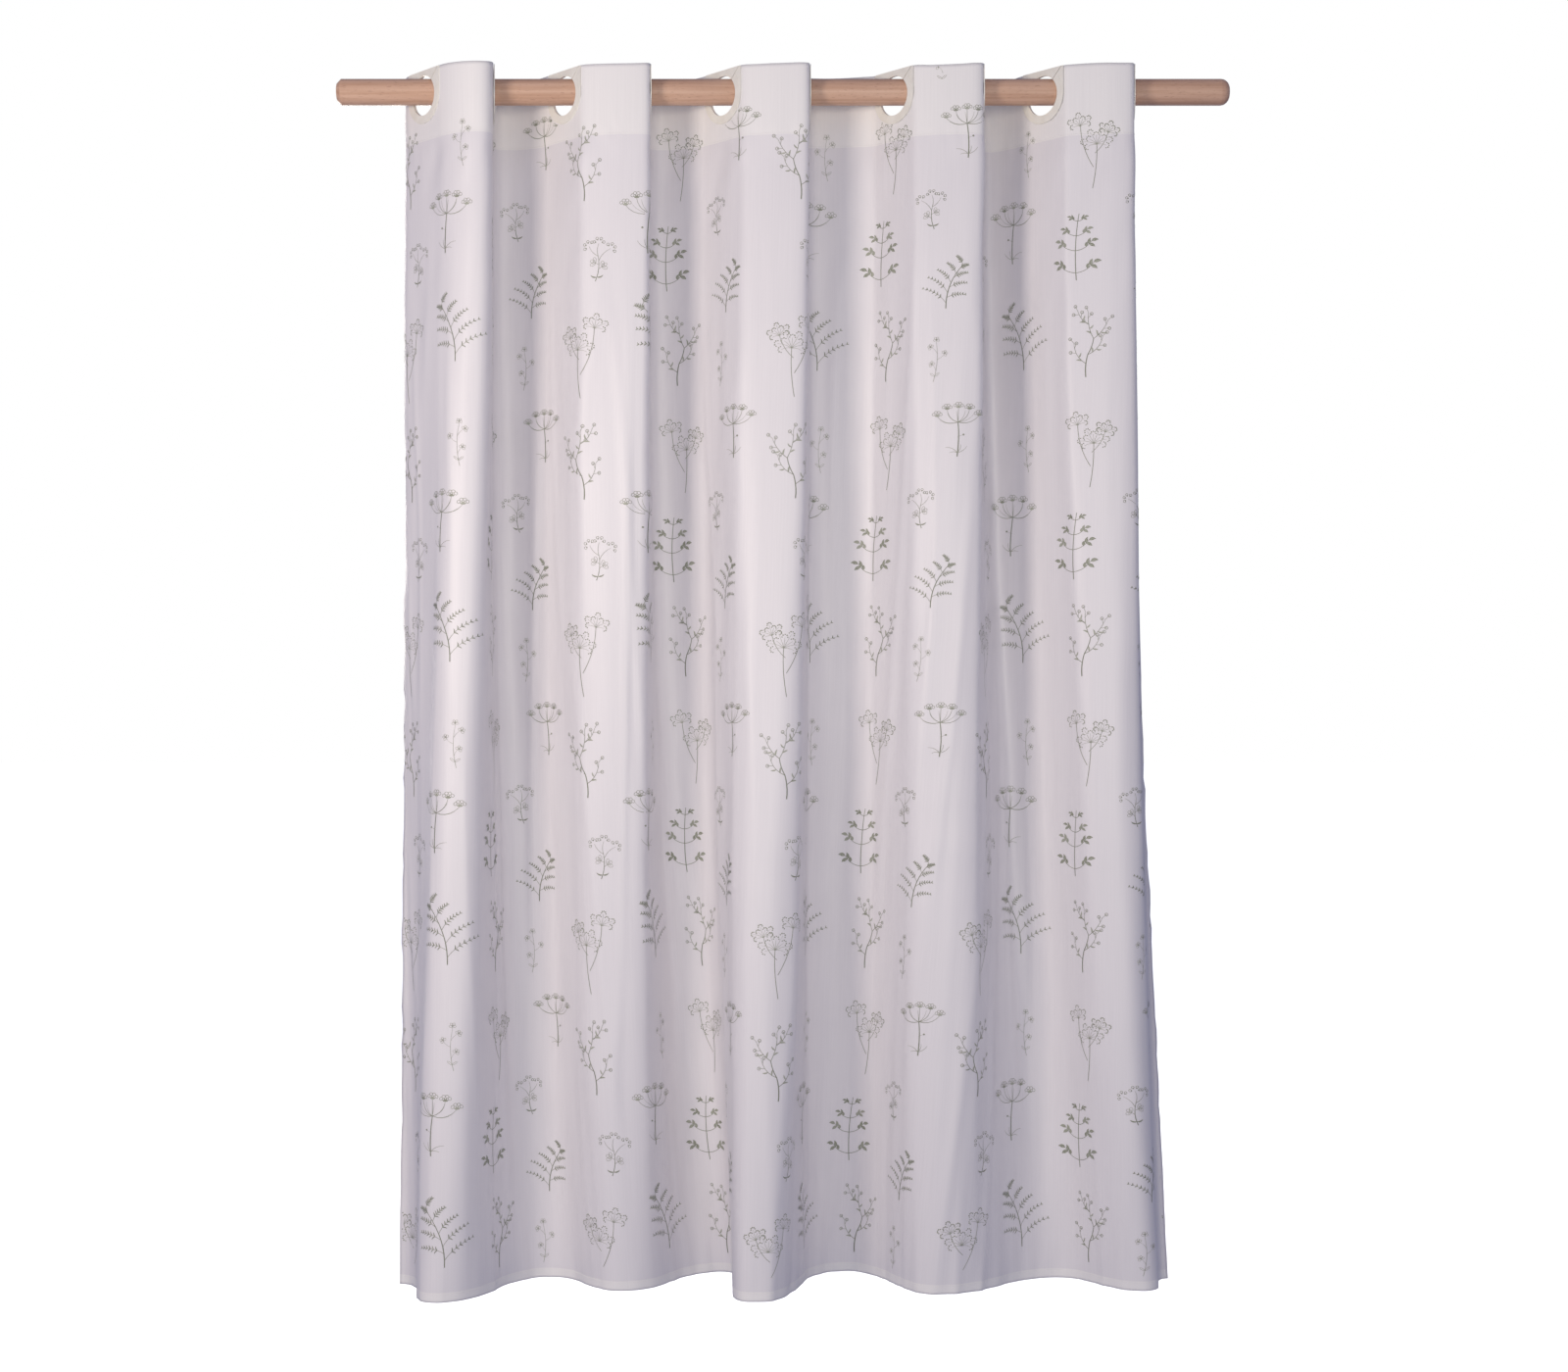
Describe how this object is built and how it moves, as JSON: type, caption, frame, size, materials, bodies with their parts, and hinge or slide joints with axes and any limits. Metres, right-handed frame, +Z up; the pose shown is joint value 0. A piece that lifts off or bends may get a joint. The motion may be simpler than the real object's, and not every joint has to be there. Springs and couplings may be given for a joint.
{
  "type": "shower curtain",
  "caption": "Printed satin shower curtain with built-in split rings, hung in soft pleats on a round wooden rod, that gathers to one side along the rod.",
  "frame": {"origin": "centre of the rod's left end face, seen from the curtain's front", "axes": "+X along the rod from its left end to its right, +Y from the curtain's front to its back, +Z up"},
  "size_m": [1.3, 0.1989, 1.775],
  "materials": {
    "rod": "satin",
    "cloth": "satin",
    "ring": "gloss"
  },
  "bodies": {
    "rod": {"rod": "rod"},
    "cloth_01": {"cloth_strip_01": "cloth"},
    "ring_01": {"ring_01_front": "ring", "ring_01_back": "ring"},
    "cloth_02": {"cloth_strip_02": "cloth"},
    "ring_02": {"ring_02_front": "ring", "ring_02_back": "ring"},
    "cloth_03": {"cloth_strip_03": "cloth"},
    "ring_03": {"ring_03_front": "ring", "ring_03_back": "ring"},
    "cloth_04": {"cloth_strip_04": "cloth"},
    "ring_04": {"ring_04_front": "ring", "ring_04_back": "ring"},
    "cloth_05": {"cloth_strip_05": "cloth"},
    "ring_05": {"ring_05_front": "ring", "ring_05_back": "ring"},
    "cloth_06": {"cloth_strip_06": "cloth"},
    "ring_06": {"ring_06_front": "ring", "ring_06_back": "ring"},
    "cloth_07": {"cloth_strip_07": "cloth"},
    "ring_07": {"ring_07_front": "ring", "ring_07_back": "ring"},
    "cloth_08": {"cloth_strip_08": "cloth"},
    "ring_08": {"ring_08_front": "ring", "ring_08_back": "ring"},
    "cloth_09": {"cloth_strip_09": "cloth"},
    "ring_09": {"ring_09_front": "ring", "ring_09_back": "ring"},
    "cloth_10": {"cloth_strip_10": "cloth"},
    "ring_10": {"ring_10_front": "ring", "ring_10_back": "ring"}
  },
  "joints": [
    {"name": "ring_01_slide", "type": "slide", "parent": "rod", "child": "cloth_01", "axis": [1, 0, 0], "range_m": [-0.04691, 0], "deforming": ["cloth_strip_01"]},
    {"name": "ring_02_slide", "type": "slide", "parent": "rod", "child": "cloth_02", "axis": [1, 0, 0], "range_m": [-0.11641, 0], "deforming": ["cloth_strip_02"]},
    {"name": "ring_03_slide", "type": "slide", "parent": "rod", "child": "cloth_03", "axis": [1, 0, 0], "range_m": [-0.19023, 0], "deforming": ["cloth_strip_03"]},
    {"name": "ring_04_slide", "type": "slide", "parent": "rod", "child": "cloth_04", "axis": [1, 0, 0], "range_m": [-0.27598, 0], "deforming": ["cloth_strip_04"]},
    {"name": "ring_05_slide", "type": "slide", "parent": "rod", "child": "cloth_05", "axis": [1, 0, 0], "range_m": [-0.35201, 0], "deforming": ["cloth_strip_05"]},
    {"name": "ring_06_slide", "type": "slide", "parent": "rod", "child": "cloth_06", "axis": [1, 0, 0], "range_m": [-0.43877, 0], "deforming": ["cloth_strip_06"]},
    {"name": "ring_07_slide", "type": "slide", "parent": "rod", "child": "cloth_07", "axis": [1, 0, 0], "range_m": [-0.52661, 0], "deforming": ["cloth_strip_07"]},
    {"name": "ring_08_slide", "type": "slide", "parent": "rod", "child": "cloth_08", "axis": [1, 0, 0], "range_m": [-0.61583, 0], "deforming": ["cloth_strip_08"]},
    {"name": "ring_09_slide", "type": "slide", "parent": "rod", "child": "cloth_09", "axis": [1, 0, 0], "range_m": [-0.67836, 0], "deforming": ["cloth_strip_09"]},
    {"name": "ring_10_slide", "type": "slide", "parent": "rod", "child": "cloth_10", "axis": [1, 0, 0], "range_m": [-0.7692, 0], "deforming": ["cloth_strip_10"]},
    {"name": "ring_01_swivel", "type": "hinge", "parent": "cloth_01", "child": "ring_01", "pos_m": [0.127, 0, 0], "axis": [0, 0, 1], "range_deg": [-26.45, 0]},
    {"name": "ring_02_swivel", "type": "hinge", "parent": "cloth_02", "child": "ring_02", "pos_m": [0.22628, 0, 0], "axis": [0, 0, 1], "range_deg": [-5.59, 0]},
    {"name": "ring_03_swivel", "type": "hinge", "parent": "cloth_03", "child": "ring_03", "pos_m": [0.33174, 0, 0], "axis": [0, 0, 1], "range_deg": [-26.45, 0]},
    {"name": "ring_04_swivel", "type": "hinge", "parent": "cloth_04", "child": "ring_04", "pos_m": [0.45425, 0, 0], "axis": [0, 0, 1], "range_deg": [-3.5, 0]},
    {"name": "ring_05_swivel", "type": "hinge", "parent": "cloth_05", "child": "ring_05", "pos_m": [0.56284, 0, 0], "axis": [0, 0, 1], "range_deg": [-26.45, 0]},
    {"name": "ring_06_swivel", "type": "hinge", "parent": "cloth_06", "child": "ring_06", "pos_m": [0.68679, 0, 0], "axis": [0, 0, 1], "range_deg": [-1.05, 0]},
    {"name": "ring_07_swivel", "type": "hinge", "parent": "cloth_07", "child": "ring_07", "pos_m": [0.81227, 0, 0], "axis": [0, 0, 1], "range_deg": [-26.45, 0]},
    {"name": "ring_08_swivel", "type": "hinge", "parent": "cloth_08", "child": "ring_08", "pos_m": [0.93972, 0, 0], "axis": [0, 0, 1], "range_deg": [0, 1.4]},
    {"name": "ring_09_swivel", "type": "hinge", "parent": "cloth_09", "child": "ring_09", "pos_m": [1.02906, 0, 0], "axis": [0, 0, 1], "range_deg": [-26.45, 0]},
    {"name": "ring_10_swivel", "type": "hinge", "parent": "cloth_10", "child": "ring_10", "pos_m": [1.15883, 0, 0], "axis": [0, 0, 1], "range_deg": [0, 3.5]}
  ],
  "couplings": [
    {"joint": "ring_01_slide", "follows": "ring_10_slide", "ratio": 0.060974},
    {"joint": "ring_02_slide", "follows": "ring_10_slide", "ratio": 0.15133},
    {"joint": "ring_03_slide", "follows": "ring_10_slide", "ratio": 0.2473},
    {"joint": "ring_04_slide", "follows": "ring_10_slide", "ratio": 0.35879},
    {"joint": "ring_05_slide", "follows": "ring_10_slide", "ratio": 0.45762},
    {"joint": "ring_06_slide", "follows": "ring_10_slide", "ratio": 0.57042},
    {"joint": "ring_07_slide", "follows": "ring_10_slide", "ratio": 0.68462},
    {"joint": "ring_08_slide", "follows": "ring_10_slide", "ratio": 0.8006},
    {"joint": "ring_09_slide", "follows": "ring_10_slide", "ratio": 0.8819},
    {"joint": "ring_01_swivel", "follows": "ring_10_slide", "rad_per_m": 0.6001},
    {"joint": "ring_02_swivel", "follows": "ring_10_slide", "rad_per_m": 0.12674},
    {"joint": "ring_03_swivel", "follows": "ring_10_slide", "rad_per_m": 0.6001},
    {"joint": "ring_04_swivel", "follows": "ring_10_slide", "rad_per_m": 0.079337},
    {"joint": "ring_05_swivel", "follows": "ring_10_slide", "rad_per_m": 0.6001},
    {"joint": "ring_06_swivel", "follows": "ring_10_slide", "rad_per_m": 0.023823},
    {"joint": "ring_07_swivel", "follows": "ring_10_slide", "rad_per_m": 0.6001},
    {"joint": "ring_08_swivel", "follows": "ring_10_slide", "rad_per_m": -0.031761},
    {"joint": "ring_09_swivel", "follows": "ring_10_slide", "rad_per_m": 0.6001},
    {"joint": "ring_10_swivel", "follows": "ring_10_slide", "rad_per_m": -0.079337}
  ]
}
